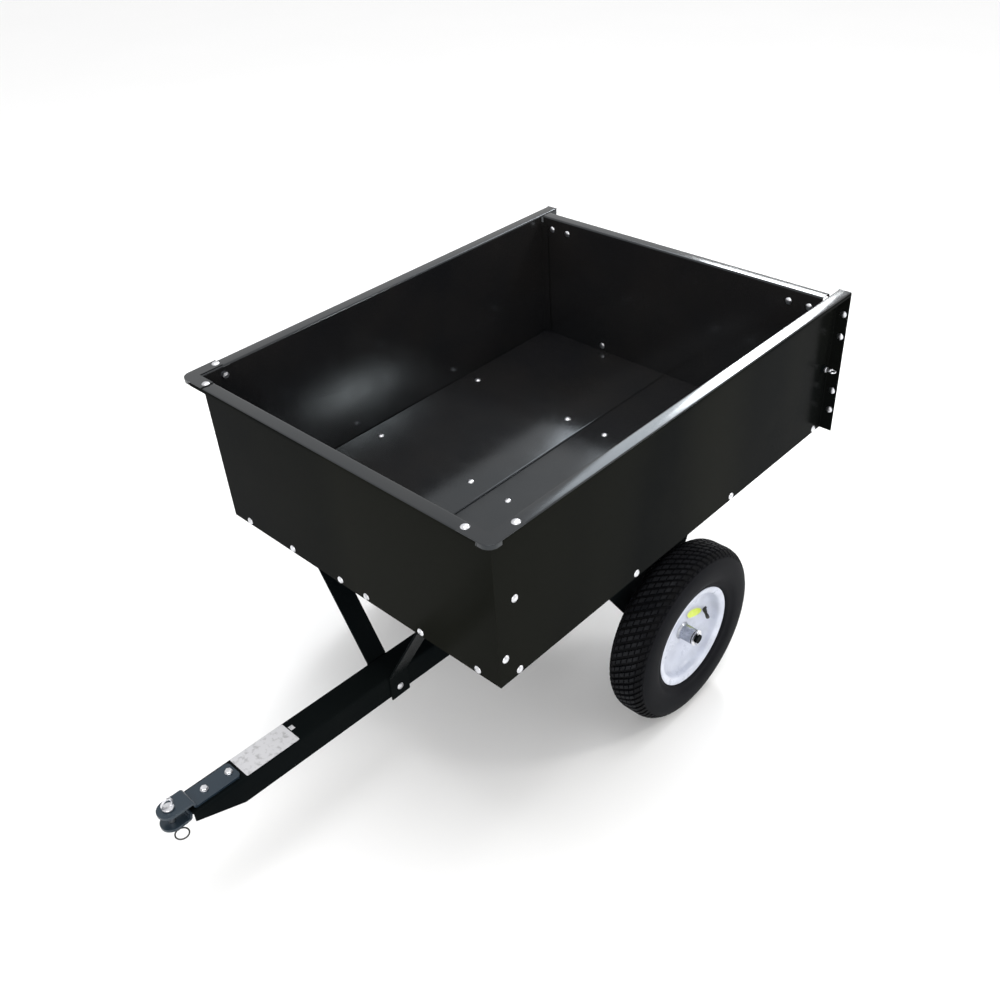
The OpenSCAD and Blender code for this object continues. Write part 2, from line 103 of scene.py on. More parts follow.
class Finish:
    """A material with one shader and the fields that feed it."""

    def __init__(self, name):
        self.material = bpy.data.materials.new(name)
        self.material.use_nodes = True
        self.tree = self.material.node_tree
        self.tree.nodes.clear()
        self.place = self.node("ShaderNodeTexCoord", output="Object")

    def node(self, kind, settings=None, values=None, output=0):
        return add_node(self.tree, kind, settings, values, output)

    def noise(self, scale, detail=3.0, rough=0.5, place=None):
        return self.node("ShaderNodeTexNoise", None,
                         {"Vector": place or self.place, "Scale": scale,
                          "Detail": detail, "Roughness": rough})

    def stretch(self, x, y, z):
        """The place with each axis scaled on its own, for streaks."""
        return self.node("ShaderNodeVectorMath", {"operation": "MULTIPLY"},
                         {0: self.place, 1: (x, y, z)})

    def mix(self, factor, a, b):
        node = self.tree.nodes.new("ShaderNodeMix")
        node.data_type = "RGBA"
        for socket, value in ((node.inputs[0], factor), (node.inputs[6], a), (node.inputs[7], b)):
            if isinstance(value, Field):
                self.tree.links.new(value.socket, socket)
            elif isinstance(value, tuple):
                socket.default_value = (*value, 1.0)
            else:
                socket.default_value = value
        return Field(self.tree, node.outputs[2])

    def bump(self, height, strength, distance):
        return self.node("ShaderNodeBump", None,
                         {"Height": height, "Strength": strength, "Distance": distance})

    def shade(self, colour, rough, normal=None, **fixed):
        shader = self.tree.nodes.new("ShaderNodeBsdfPrincipled")
        out = self.tree.nodes.new("ShaderNodeOutputMaterial")
        self.tree.links.new(shader.outputs[0], out.inputs[0])
        for key, value in (("Base Color", colour), ("Roughness", rough), ("Normal", normal)):
            if isinstance(value, Field):
                self.tree.links.new(value.socket, shader.inputs[key])
            elif isinstance(value, tuple):
                shader.inputs[key].default_value = (*value, 1.0)
            elif value is not None:
                shader.inputs[key].default_value = value
        for key, value in fixed.items():
            shader.inputs[key.replace("_", " ")].default_value = value
        return self.material


def powder_black(name, gloss=0.09, tint=(0.0085, 0.0088, 0.0098), sheen=0.5, painted_reflection=None):
    """Black powder coat: fine orange peel, wiping haze and a little dust; where given, soft warm
    streaks of painted reflection.
    """
    f = Finish(name)
    peel = f.noise(420.0, 2.0)
    cloud = f.noise(3.1, 4.0, 0.6)
    haze = f.noise(5.0, 5.0, 0.62, f.stretch(1.0, 2.6, 1.0))
    speck = f.noise(950.0, 1.0).ramp(0.72, 0.80) * f.noise(14.0, 3.0).ramp(0.5, 0.75)
    warm = tuple(c * k for c, k in zip(tint, (1.9, 1.7, 1.45)))
    colour = f.mix(cloud.ramp(0.35, 0.75), tint, warm)
    colour = f.mix(speck * 0.35, colour, (0.10, 0.098, 0.09))
    # Soft warm streaks stretched upright: painted reflection of the surroundings, mixed into the
    # coat's colour.
    if painted_reflection:
        reflection_patches = f.noise(2.3, 2.0, 0.5, f.stretch(1.0, 1.0, 0.12)).ramp(0.46, 0.62)
        colour = f.mix(reflection_patches, colour, painted_reflection)
    rough = haze.ramp(0.3, 0.8) * 0.11 + gloss + speck * 0.3
    return f.shade(colour, rough, f.bump(peel, 0.10, 0.0006), Specular_IOR_Level=sheen,
                   Specular_Tint=(0.84, 0.93, 1.0, 1.0))


def zinc_plate(name, fresh=(0.80, 0.81, 0.84), dull=(0.50, 0.50, 0.52)):
    """Bright zinc: faint spangle and handling marks on metal."""
    f = Finish(name)
    grain = f.noise(700.0, 3.0)
    stain = f.noise(90.0, 4.0, 0.6)
    colour = f.mix(stain.ramp(0.35, 0.7), fresh, dull)
    rough = grain * 0.16 + stain.ramp(0.3, 0.8) * 0.16 + 0.16
    return f.shade(colour, rough, f.bump(grain, 0.12, 0.0003), Metallic=1.0)


def rim_enamel(name):
    """Pale cool enamel on a pressed rim, with faint flow ripples and road dust."""
    f = Finish(name)
    ripple = f.noise(130.0, 2.0)
    dust = f.noise(22.0, 5.0, 0.62)
    shade = f.noise(9.0, 2.0)
    colour = f.mix(shade.ramp(0.42, 0.62), (0.66, 0.69, 0.78), (0.50, 0.53, 0.62))
    colour = f.mix(dust.ramp(0.50, 0.85), colour, (0.40, 0.42, 0.48))
    rough = dust.ramp(0.3, 0.8) * 0.16 + 0.24
    return f.shade(colour, rough, f.bump(ripple, 0.12, 0.0008), Coat_Weight=0.25,
                   Coat_Roughness=0.12)


def tyre_rubber(name, centre_x, axle, tread_r):
    """Moulded rubber: painted shade darkening the grooves between the lugs, painted highlight
    paling their tops, with faintly ringed sides.
    """
    f = Finish(name)
    away = f.node("ShaderNodeVectorMath", {"operation": "SUBTRACT"},
                  {0: f.place, 1: (centre_x, axle.y, axle.z)})
    flat = f.node("ShaderNodeVectorMath", {"operation": "MULTIPLY"},
                  {0: away, 1: (0.0, 1.0, 1.0)})
    radius = f.node("ShaderNodeVectorMath", {"operation": "LENGTH"}, {0: flat}, "Value")
    grain = f.noise(1300.0, 3.0)
    bloom = f.noise(18.0, 5.0, 0.62)
    groove = 1.0 - radius.ramp(tread_r - 0.0065, tread_r - 0.0022)
    side = 1.0 - radius.ramp(tread_r - 0.02, tread_r - 0.010)
    # Darker colour down in the grooves between the lugs: painted shade.
    groove_shade = (groove * (1.0 - side) * (bloom.ramp(0.3, 0.7) * 0.5 + 0.2)).clamp()
    colour = f.mix(bloom.ramp(0.3, 0.75), (0.0036, 0.0040, 0.0054), (0.0074, 0.0078, 0.0096))
    # Paler colour on the lug tops: painted highlight.
    paler = radius.ramp(tread_r - 0.0035, tread_r - 0.0008) * bloom.ramp(0.35, 0.6)
    colour = f.mix(paler * 0.8, colour, (0.0170, 0.0178, 0.0200))
    colour = f.mix(groove_shade, colour, (0.0030, 0.0028, 0.0026))
    rings = f.node("ShaderNodeMath", {"operation": "SINE"}, {0: radius * 1400.0})
    relief = grain * 0.7 + rings * side * 0.12
    rough = bloom * 0.18 + groove * 0.10 + 0.46
    return f.shade(colour, rough, f.bump(relief, 0.22, 0.0007), Specular_IOR_Level=0.06)


def moulded_black(name):
    """Matt black plastic with a fine spark-eroded grain."""
    f = Finish(name)
    grain = f.noise(1100.0, 3.0)
    paler = f.noise(60.0, 4.0)
    colour = f.mix(paler.ramp(0.4, 0.8), (0.013, 0.013, 0.014), (0.032, 0.032, 0.034))
    return f.shade(colour, paler * 0.2 + 0.42, f.bump(grain, 0.2, 0.0004))


def pale_film(name):
    """Blank pale label film with soft mottling and a scuffed surface."""
    f = Finish(name)
    mottle = f.noise(95.0, 4.0, 0.6)
    scuff = f.noise(34.0, 5.0, 0.6, f.stretch(1.0, 3.0, 1.0))
    colour = f.mix(mottle.ramp(0.52, 0.68), (0.56, 0.56, 0.58), (0.36, 0.36, 0.37))
    return f.shade(colour, scuff * 0.25 + 0.25, f.bump(scuff, 0.08, 0.0004))


def lime_film(name):
    """Blank lime spot label with faint fading."""
    f = Finish(name)
    fade = f.noise(120.0, 3.0)
    colour = f.mix(fade.ramp(0.35, 0.75), (0.60, 0.74, 0.03), (0.70, 0.80, 0.16))
    return f.shade(colour, fade * 0.2 + 0.3, f.bump(fade, 0.06, 0.0003))


def pale_ground(name):
    """Plain pale floor with faint clouding."""
    f = Finish(name)
    cloud = f.noise(1.4, 3.0)
    colour = f.mix(cloud, (0.90, 0.90, 0.90), (0.92, 0.92, 0.92))
    return f.shade(colour, cloud * 0.05 + 0.75, Specular_IOR_Level=0.1)


# ------------------------------------------------------------------ mesh tools


class Shape:
    """Collects vertices and faces of one piece, in metres."""

    def __init__(self):
        self.points = []
        self.faces = []

    def add(self, points, faces, matrix=None):
        base = len(self.points)
        for p in points:
            p = Vector(p)
            self.points.append(matrix @ p if matrix else p)
        self.faces += [tuple(base + i for i in face) for face in faces]
        return self

    def lathe(self, profile, segments, matrix, closed=False):
        """Turn a (radius, height) profile about the local Z axis."""
        rows = len(profile)
        points = []
        for k in range(segments):
            a = 2 * math.pi * k / segments
            points += [(r * math.cos(a), r * math.sin(a), z) for r, z in profile]
        faces = []
        last = rows if closed else rows - 1
        for k in range(segments):
            n = (k + 1) % segments
            for i in range(last):
                j = (i + 1) % rows
                faces.append((k * rows + i, n * rows + i, n * rows + j, k * rows + j))
        self.add(points, faces, matrix)

    def loft(self, sections, thick, place):
        """Sheet that follows open centre lines; place(u, v, w) gives the point."""
        rows = len(sections[0][1])
        points = []
        for w, line in sections:
            for i, (u, v) in enumerate(line):
                a = line[max(i - 1, 0)]
                b = line[min(i + 1, rows - 1)]
                du, dv = b[0] - a[0], b[1] - a[1]
                size = math.hypot(du, dv)
                nu, nv = -dv / size * thick / 2, du / size * thick / 2
                points.append(place(u + nu, v + nv, w))
                points.append(place(u - nu, v - nv, w))
        faces = []
        step = rows * 2
        for s in range(len(sections) - 1):
            a, b = s * step, (s + 1) * step
            for i in range(rows - 1):
                k = i * 2
                faces.append((a + k, a + k + 2, b + k + 2, b + k))
                faces.append((a + k + 1, b + k + 1, b + k + 3, a + k + 3))
            faces.append((a, b, b + 1, a + 1))
            faces.append((a + step - 2, a + step - 1, b + step - 1, b + step - 2))
        last = (len(sections) - 1) * step
        for i in range(rows - 1):
            k = i * 2
            faces.append((k, k + 1, k + 3, k + 2))
            faces.append((last + k, last + k + 2, last + k + 3, last + k + 1))
        self.add(points, faces)

    def plate(self, outline, z0, z1, matrix=None):
        """Flat plate with a closed outline, from height z0 to z1."""
        n = len(outline)
        points = [(x, y, z0) for x, y in outline] + [(x, y, z1) for x, y in outline]
        faces = [tuple(reversed(range(n))), tuple(range(n, 2 * n))]
        faces += [(i, (i + 1) % n, n + (i + 1) % n, n + i) for i in range(n)]
        self.add(points, faces, matrix)

    def make(self, name, finish, body, slot, nodes, bevel=0.0, sharp=32.0, shaded_skin=None):
        """Build the piece; skin = (second finish, test of a face's normal and centre), the second
        finish being a darker copy of the coat, painted shade on outer faces.
        """
        mesh = bpy.data.meshes.new(name)
        mesh.from_pydata([tuple(p) for p in self.points], [], self.faces)
        mesh.validate()
        work = bmesh.new()
        work.from_mesh(mesh)
        bmesh.ops.remove_doubles(work, verts=work.verts, dist=1e-6)
        bmesh.ops.recalc_face_normals(work, faces=work.faces)
        for edge in work.edges:
            if len(edge.link_faces) == 2:
                edge.smooth = edge.calc_face_angle(0.0) < math.radians(sharp)
        for face in work.faces:
            face.smooth = True
            if shaded_skin and shaded_skin[1](face.normal, face.calc_center_median()):
                face.material_index = 1
        work.to_mesh(mesh)
        work.free()
        mesh.materials.append(finish)
        if shaded_skin:
            mesh.materials.append(shaded_skin[0])
        piece = bpy.data.objects.new(name, mesh)
        bpy.context.scene.collection.objects.link(piece)
        if bevel:
            mod = piece.modifiers.new("soft_edges", "BEVEL")
            mod.width = bevel
            mod.segments = 2
            mod.limit_method = "ANGLE"
            mod.angle_limit = math.radians(40)
            mod.harden_normals = True
        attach(piece, body)
        if nodes:
            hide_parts(*nodes)


def rounded(line, radius, steps=6):
    """Replace each inner corner of an open line with an arc."""
    out = [line[0]]
    for before, corner, after in zip(line, line[1:], line[2:]):
        a = Vector(before) - Vector(corner)
        b = Vector(after) - Vector(corner)
        angle = a.angle(b)
        cut = min(radius / math.tan(angle / 2), a.length * 0.49, b.length * 0.49)
        start = Vector(corner) + a.normalized() * cut
        end = Vector(corner) + b.normalized() * cut
        for k in range(steps + 1):
            t = k / steps
            p = start.lerp(Vector(corner), t).lerp(Vector(corner).lerp(end, t), t)
            out.append((p.x, p.y))
    out.append(line[-1])
    return out


def facing(place, direction):
    """Matrix that puts a local +Z shape at a place, pointing along a direction."""
    turn = Vector(direction).to_track_quat("Z", "Y").to_matrix().to_4x4()
    return Matrix.Translation(Vector(place)) @ turn


def arc(cx, cy, r, a0, a1, steps):
    """Points on a circle from angle a0 to a1, in degrees."""
    return [(cx + r * math.cos(math.radians(a0 + (a1 - a0) * k / steps)),
             cy + r * math.sin(math.radians(a0 + (a1 - a0) * k / steps)))
            for k in range(steps + 1)]


def mirrored(line):
    """The same line on the cart's other side."""
    return [(-u, v) for u, v in line]


def in_mm(profile):
    """A profile written in millimetres, in metres."""
    return [(r * MM, a * MM) for r, a in profile]


def wire_ring(radius, wire, steps):
    """Profile that turns into a ring of round wire."""
    return [(radius + wire * math.cos(a), wire * math.sin(a))
            for a in (2 * math.pi * k / steps for k in range(steps))]


# ------------------------------------------------------------- places and sizes

panel_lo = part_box("front_panel")[0]
side_lo, side_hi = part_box("side_panel_left")
gate_lo, gate_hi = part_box("tailgate")
floor_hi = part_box("floor_left")[1]
tyre_lo, tyre_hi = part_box("tyre_left")

FRONT = panel_lo[1]
RIM = side_hi[2]
BOTTOM = side_lo[2]
WALL = 0.386  # outer face of a side wall, from the middle
EDGE = side_hi[0]
FLANGE = EDGE - WALL
SHEET = 0.002
REAR = side_hi[1]
DECK = floor_hi[2]
DECK_END = floor_hi[1]
GATE = gate_lo[1]
AXLE = Vector((0.0, (tyre_lo[1] + tyre_hi[1]) / 2, (tyre_lo[2] + tyre_hi[2]) / 2))
WHEEL_X = (tyre_lo[0] + tyre_hi[0]) / 2
TYRE_R = AXLE.z
FOLD = 0.0035  # how far from its corner a fold starts to bend
LIP = 0.008  # how far the rim's turned lip reaches down

black = powder_black("black_powder_coat")
# Outer faces of the sheets: a darker, almost unreflecting copy of the same black coat, which is
# painted shade, with warm streaks of painted reflection.
shaded_skin_black = powder_black("black_coat_shaded_copy", 0.13, (0.0034, 0.0040, 0.0040), 0.006,
                          (0.0088, 0.0092, 0.0074))
frame_black = powder_black("black_frame_coat", 0.20, (0.0030, 0.0042, 0.0048), 0.008)
hitch_black = powder_black("blued_hitch_coat", 0.16, (0.013, 0.022, 0.034), 0.45)
zinc = zinc_plate("zinc_plate")
dark_wire = zinc_plate("dark_wire", (0.11, 0.11, 0.10), (0.05, 0.05, 0.05))
dull_zinc = zinc_plate("hub_zinc", (0.50, 0.52, 0.57), (0.30, 0.32, 0.36))
enamel = rim_enamel("rim_enamel")
plastic = moulded_black("moulded_black")
label_film = pale_film("blank_label_film")
lime = lime_film("lime_spot_film")

# -------------------------------------------------------------------- the bed


def along_y(u, v, w):
    return (u, w, v)


def along_x(u, v, w):
    return (w, u, v)


def along_z(u, v, w):
    return (u, v, w)


def side_wall(sign, name, node):
    """Side wall with its rolled flange, lip and upright rear flange."""
    half = SHEET / 2
    x, top = WALL - half, RIM - half
    wall = rounded([(x, BOTTOM), (x, top), (EDGE - half, top), (EDGE - half, RIM - LIP)], FOLD)
    rear = rounded([(x, FRONT + 0.6), (x, REAR - half), (EDGE, REAR - half)], FOLD)
    if sign < 0:
        wall, rear = mirrored(wall), mirrored(rear)
    rear = rear[1:]  # the first point only gave the fold its direction
    s = Shape()
    y0, y1 = FRONT + 0.030, REAR - 0.004
    s.loft([(y0, wall), (y1, wall)], SHEET, along_y)
    s.loft([(BOTTOM, rear), (RIM - SHEET, rear)], SHEET, along_z)
    corner = [(sign * x, RIM - half), (sign * (EDGE - half), RIM - half)]
    s.loft([(y1, corner), (REAR, corner)], SHEET, along_y)
    edge = [(sign * x, BOTTOM), (sign * x, top)]
    s.loft([(FRONT + 0.028, edge), (y0, edge)], SHEET, along_y)
    # Faces outside the bed take the darker copy of the coat, which is painted shade.
    outer = (shaded_skin_black, lambda n, c: n.x * sign > 0.7 or abs(n.y) > 0.7)
    s.make(name, black, "bed", "black_paint", [node], shaded_skin=outer)


side_wall(1, "side_wall_left", "side_panel_left")
side_wall(-1, "side_wall_right", "side_panel_right")

front_y = FRONT + FLANGE + SHEET / 2
front_line = rounded([(front_y, BOTTOM), (front_y, RIM - 0.001), (FRONT + 0.001, RIM - 0.001),
                      (FRONT + 0.001, RIM - LIP)], FOLD)
s = Shape()
inner = WALL - SHEET
s.loft([(-inner, front_line), (inner, front_line)], SHEET, along_x)
for sign in (-1, 1):
    fold = [(sign * (inner - SHEET / 2), FRONT + FLANGE + 0.001),
            (sign * (inner - SHEET / 2), FRONT + FLANGE + 0.066)]
    s.loft([(DECK + 0.001, fold), (RIM - 0.002, fold)], SHEET, along_z)
# The front face takes the darker copy of the coat, which is painted shade.
s.make("front_wall", black, "bed", "black_paint", ["front_panel"],
       shaded_skin=(shaded_skin_black, lambda n, c: n.y < -0.7))


def corner_tie(sign, name, node):
    """Plate over a front corner of the rim, with a lip round the corner."""
    r = 0.020
    x0, x1 = WALL - 0.044, WALL + 0.001
    y0, y1 = FRONT + FLANGE, FRONT + 0.081
    outline = [(x0, FRONT)] + arc(EDGE - r, FRONT + r, r, -90, 0, 10)
    outline += [(EDGE, y1), (x1, y1), (x1, y0), (x0, y0)]
    strip = arc(EDGE - r, FRONT + r, r - 0.001, -90, 0, 10)
    strip = [(WALL + 0.0005, FRONT + 0.001)] + strip + [(EDGE - 0.001, y0)]
    if sign < 0:
        outline, strip = mirrored(outline), mirrored(strip)
    s = Shape()
    s.plate(outline, RIM, RIM + SHEET)
    s.loft([(RIM - LIP, strip), (RIM + 0.0005, strip)], SHEET, along_z)
    s.make(name, black, "bed", "black_paint", [node], bevel=0.0007)


corner_tie(1, "corner_tie_left", "corner_plate_left")
corner_tie(-1, "corner_tie_right", "corner_plate_right")


def deck_half(sign, name, node):
    """One half of the floor: a shallow tray turned upside down."""
    half = SHEET / 2
    line = rounded([(half, BOTTOM), (half, DECK - half), (inner - half, DECK - half),
                    (inner - half, BOTTOM)], FOLD)
    ends = [(half, 0), (inner - half, 0)]
    if sign < 0:
        line, ends = mirrored(line), mirrored(ends)
    y0 = FRONT + FLANGE + SHEET
    s = Shape()
    s.loft([(y0 + SHEET, line), (DECK_END - SHEET, line)], SHEET, along_y)
    for y, step in ((y0 + half, SHEET), (DECK_END - half, -SHEET)):
        lip = [(y, BOTTOM), (y, DECK - 0.003), (y + step * 0.9, DECK - half),
               (y + step * 2, DECK - half)]
        xs = sorted((ends[0][0], ends[1][0]))
        s.loft([(xs[0], lip), (xs[1], lip)], SHEET, along_x)
    s.make(name, black, "bed", "black_paint", [node])


deck_half(1, "deck_left", "floor_left")
deck_half(-1, "deck_right", "floor_right")

gate_y = GATE + SHEET / 2
turned_y = GATE + 0.027
gate_line = rounded([(gate_y, DECK + 0.0006), (gate_y, RIM - 0.001), (turned_y, RIM - 0.001),
                     (turned_y, RIM - LIP)], FOLD)
gate_half = gate_hi[0]
s = Shape()
s.loft([(-gate_half, gate_line), (gate_half, gate_line)], SHEET, along_x)
# The tailgate's outer face takes the darker copy of the coat, which is painted shade.
s.make("tailgate_sheet", black, "tailgate", "black_paint", ["tailgate"],
       shaded_skin=(shaded_skin_black, lambda n, c: n.y > 0.7))

# --------------------------------------------------------------- the fasteners

DOME = [(0.0, -3.4), (2.0, -3.3), (4.2, -2.8), (6.0, -1.9), (7.3, -0.9), (7.8, 0.0), (0.0, 0.0)]


def bolt(s, place, into, grip, shank=7.0):
    """Round-head bolt: dome outside, shank and chamfered hex nut inside."""
    m = facing(place, into)
    s.lathe(in_mm(DOME), 20, m)
    s.lathe([(0, 0), (0.004, 0), (0.004, grip + (shank - 0.8) * MM),
             (0.0032, grip + shank * MM), (0, grip + shank * MM)], 12, m)
    s.lathe([(0.003, grip), (0.0062, grip), (0.007, grip + 0.0008), (0.007, grip + 0.0048),
             (0.006, grip + 0.0056), (0.003, grip + 0.0056)], 6, m)


ROW_A = AXLE.y - 0.183
ROW_B = AXLE.y + 0.134
LOW_ROW = BOTTOM + 0.009

s = Shape()
for sign in (-1, 1):
    bolt(s, (sign * 0.348, FRONT + 0.015, RIM + SHEET), (0, 0, -1), 2 * SHEET)
    bolt(s, (sign * 0.400, FRONT + 0.073, RIM + SHEET), (0, 0, -1), 2 * SHEET)
s.make("rim_fasteners", zinc, "bed", "zinc_steel", ["rim_bolts"])

s = Shape()
for x, grip in ((0.038, 2 * SHEET), (0.187, 2 * SHEET + 0.004), (0.331, 2 * SHEET)):
    for sign in (-1, 1):
        bolt(s, (sign * x, FRONT + FLANGE, LOW_ROW), (0, 1, 0), grip)
s.make("front_fasteners", zinc, "bed", "zinc_steel", ["front_bolts"])

s = Shape()
for sign in (-1, 1):
    spots = [(y, LOW_ROW) for y in (FRONT + 0.076, ROW_A, ROW_B, REAR - 0.030)]
    spots += [(FRONT + 0.078, RIM - 0.019), (FRONT + 0.074, RIM - 0.163),
              (FRONT + 0.044, RIM - 0.279)]
    for y, z in spots:
        bolt(s, (sign * WALL, y, z), (-sign, 0, 0), 2 * SHEET)
s.make("side_fasteners", zinc, "bed", "zinc_steel", ["side_bolts"])

s = Shape()
for sign in (-1, 1):
    for drop in (0.052, 0.104, 0.236, 0.284):
        bolt(s, (sign * (WALL + 0.017), REAR - SHEET, RIM - drop), (0, 1, 0), SHEET)
s.make("rear_fasteners", zinc, "bed", "zinc_steel", ["rear_bolts"])

s = Shape()
for sign in (-1, 1):
    for x in (0.054, 0.342):
        for y in (ROW_A, ROW_B):
            bolt(s, (sign * x, y, DECK), (0, 0, -1), SHEET + 0.004)
s.make("deck_fasteners", zinc, "bed", "zinc_steel", ["floor_bolts"])

s = Shape()
for sign in (-1, 1):
    for x, z in ((gate_half - 0.076, RIM - 0.029), (gate_half - 0.028, RIM - 0.029),
                 (0.195, DECK + 0.013)):
        bolt(s, (sign * x, GATE, z), (0, 1, 0), SHEET + 0.0025)
s.make("tailgate_fasteners", zinc, "tailgate", "zinc_steel", ["tailgate_bolts"])

# ------------------------------------------------------------------ the tongue

RISE = math.radians(2.3)
pin_joint = next(j for j in frame["joints"] if j["name"] == "hitch_pin_turn")
PIN = Vector(pin_joint["pos_m"])
TILT = Matrix.Translation(PIN) @ Matrix.Rotation(-RISE, 4, "X")


def on_tongue(y=0.0):
    """Frame whose origin is on the tongue's top face, y ahead of or behind the pin."""
    return TILT @ Matrix.Translation((0, y, 0))


HALF = 0.0315
WALL_T = 0.003
NOSE_DEPTH, DEPTH = 0.018, 0.056


def channel(depth):
    """Centre line of the tongue's channel, open below, with walls of a given depth."""
    c, t = HALF - WALL_T / 2, -WALL_T / 2
    return rounded([(-c, -depth), (-c, t), (c, t), (c, -depth)], 0.0045, 6)


s = Shape()
front_end, knee, back_end = 0.030, 0.130, 1.198
sections = [(front_end, channel(NOSE_DEPTH)), (knee, channel(DEPTH)), (back_end, channel(DEPTH))]
s.loft(sections, WALL_T, lambda u, v, w: on_tongue() @ Vector((u, w, v)))
s.make("tongue_channel", frame_black, "bed", "black_paint", ["tongue"])

s = Shape()
r = 0.003
half_l, y0, y1 = HALF - 0.003, 0.145, 0.266
outline = (arc(half_l - r, y1 - r, r, 0, 90, 4) + arc(-half_l + r, y1 - r, r, 90, 180, 4)
           + arc(-half_l + r, y0 + r, r, 180, 270, 4) + arc(half_l - r, y0 + r, r, 270, 360, 4))
s.plate(outline, 0.0, 0.0004, on_tongue())
s.make("blank_label", label_film, "bed", "label", ["tongue_label"])

s = Shape()
mark_x, mark_y = -0.0067, y1 + 0.0075
reach_x, reach_y = 0.0055, 0.0048
s.plate([(mark_x + u * reach_x, mark_y + v * reach_y)
         for u, v in ((-1, -1), (1, -1), (1, 1), (-1, 1))], 0.0, 0.0003, on_tongue())
s.make("blank_mark", label_film, "bed", "label", [])


BRACE_Y = FRONT + 0.075


def brace(sign, name, node):
    """Strap from the tongue up to the floor, with a tab forward and down the front wall."""
    thick = 0.004
    top = BOTTOM + 0.021
    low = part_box(node)[0][2]
    bend = low + 0.061
    c = HALF + thick / 2
    x1 = 0.177
    x2 = x1 + 0.036
    line = rounded([(c, low), (c, bend), (x1, top), (x2, top)], 0.006, 5)
    if sign < 0:
        line = mirrored(line)
    s = Shape()
    s.loft([(BRACE_Y - 0.024, line), (BRACE_Y + 0.024, line)], thick, along_y)
    front = FRONT + 0.034
    tab = rounded([(front, BOTTOM + 0.001), (front, top), (BRACE_Y - 0.020, top)], 0.003, 4)
    xs = sorted((sign * (x1 - 0.001), sign * x2))
    s.loft([(xs[0], tab), (xs[1], tab)], thick, along_x)
    s.make(name, frame_black, "bed", "black_paint", [node], bevel=0.0006)


brace(1, "brace_strap_left", "brace_left")
brace(-1, "brace_strap_right", "brace_right")

s = Shape()
wide = 2 * HALF + 0.008
for y, z in ((AXLE.y - 0.045, AXLE.z), (AXLE.y + 0.045, AXLE.z),
             (BRACE_Y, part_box("tongue_bolts")[1][2] - 0.0078)):
    bolt(s, (HALF + 0.004, y, z), (-1, 0, 0), wide)
s.make("tongue_fasteners", zinc, "bed", "zinc_steel", ["tongue_bolts"])

# ------------------------------------------------------------------- the hitch


def hex_head(s, matrix, radius, height):
    """Six-sided head or nut with its top corners cut."""
    s.lathe([(0, 0), (radius * 0.98, 0), (radius, 0.0004), (radius, height - 0.0014),
             (radius * 0.86, height - 0.0002), (0, height)], 6, matrix)


s = Shape()
for y in (0.072, 0.125):
    m = on_tongue(y)
    s.lathe([(0, 0.006), (0.0076, 0.006), (0.0076, 0.0072), (0, 0.0072)], 20, m)
    hex_head(s, m @ Matrix.Translation((0, 0, 0.0070)), 0.0072, 0.0046)
    s.lathe([(0, -0.017), (0.0034, -0.017), (0.004, -0.016), (0.004, 0.007), (0, 0.007)], 14, m)
    hex_head(s, m @ Matrix.Translation((0, 0, -0.0146)), 0.007, 0.0066)
s.make("hitch_fasteners", zinc, "bed", "zinc_steel", ["hitch_bolts"])

# Heights from the tongue's top face, then sizes
EAR_LOW, EAR_HIGH, CLIP_Z = -0.020, 0.012, -0.025
EAR_T = 0.006
STRAP_HALF = 0.022
PIN_R = 0.0063
PIN_HOLE_R = 0.00645
CLIP_WIRE = 0.0015


def ear(s, height, back):
    """One clevis ear: a round-nosed plate with the pin hole through it."""
    half, hole = STRAP_HALF, PIN_HOLE_R
    nose = [(x, -y) for x, y in arc(0, 0, half, 0, 180, 20)]
    outer = [(half, back)] + nose + [(-half, back)]
    n = len(outer)
    points, faces = [], []
    for z in (height, height + EAR_T):
        for k, (x, y) in enumerate(outer):
            a = math.radians(-90 + (k - (n - 1) / 2) * -360 / (n - 1))
            points += [(x, y, z), (hole * math.cos(a), hole * math.sin(a), z)]
    for k in range(n - 1):
        p, q, up = 2 * k, 2 * k + 2, 2 * n
        faces += [(p, q, q + 1, p + 1), (up + p + 1, up + q + 1, up + q, up + p),
                  (p, up + p, up + q, q), (p + 1, q + 1, up + q + 1, up + p + 1)]
    faces += [(0, 2 * n - 2, 4 * n - 2, 2 * n), (0, 1, 2 * n - 1, 2 * n - 2),
              (2 * n, 4 * n - 2, 4 * n - 1, 2 * n + 1)]
    s.add(points, faces, on_tongue())


def strap(s, line, thick):
    """Bent strap drawn as a side line, swept across the tongue."""
    half = STRAP_HALF - 0.0003
    s.loft([(-half, line), (half, line)], thick, lambda u, v, w: on_tongue() @ Vector((w, u, v)))


s = Shape()
top_line = rounded([(0.018, EAR_HIGH + 0.003), (0.0385, EAR_HIGH + 0.003), (0.0400, 0.0030),
                    (0.126, 0.0030)], 0.005, 4)
strap(s, top_line, EAR_T - 0.0004)
ear(s, EAR_HIGH, 0.019)
tail = [(-0.0217, 0.125)] + arc(-0.014, 0.130, 0.0077, 90, 180, 5)[::-1]
tail += arc(0.014, 0.130, 0.0077, 0, 90, 5)[::-1] + [(0.0217, 0.125)]
s.plate(tail, 0.0002, 0.0058, on_tongue())
s.make("hitch_strap", hitch_black, "bed", "black_paint", ["hitch_plate"], bevel=0.0005)

s = Shape()
low_line = rounded([(0.018, EAR_LOW + 0.003), (0.0265, EAR_LOW + 0.003), (0.0285, -0.0057),
                    (0.126, -0.0057)], 0.004, 4)
strap(s, low_line, 0.0045)
ear(s, EAR_LOW, 0.019)
s.make("hitch_under_strap", hitch_black, "bed", "black_paint", ["hitch_clevis"], bevel=0.0005)

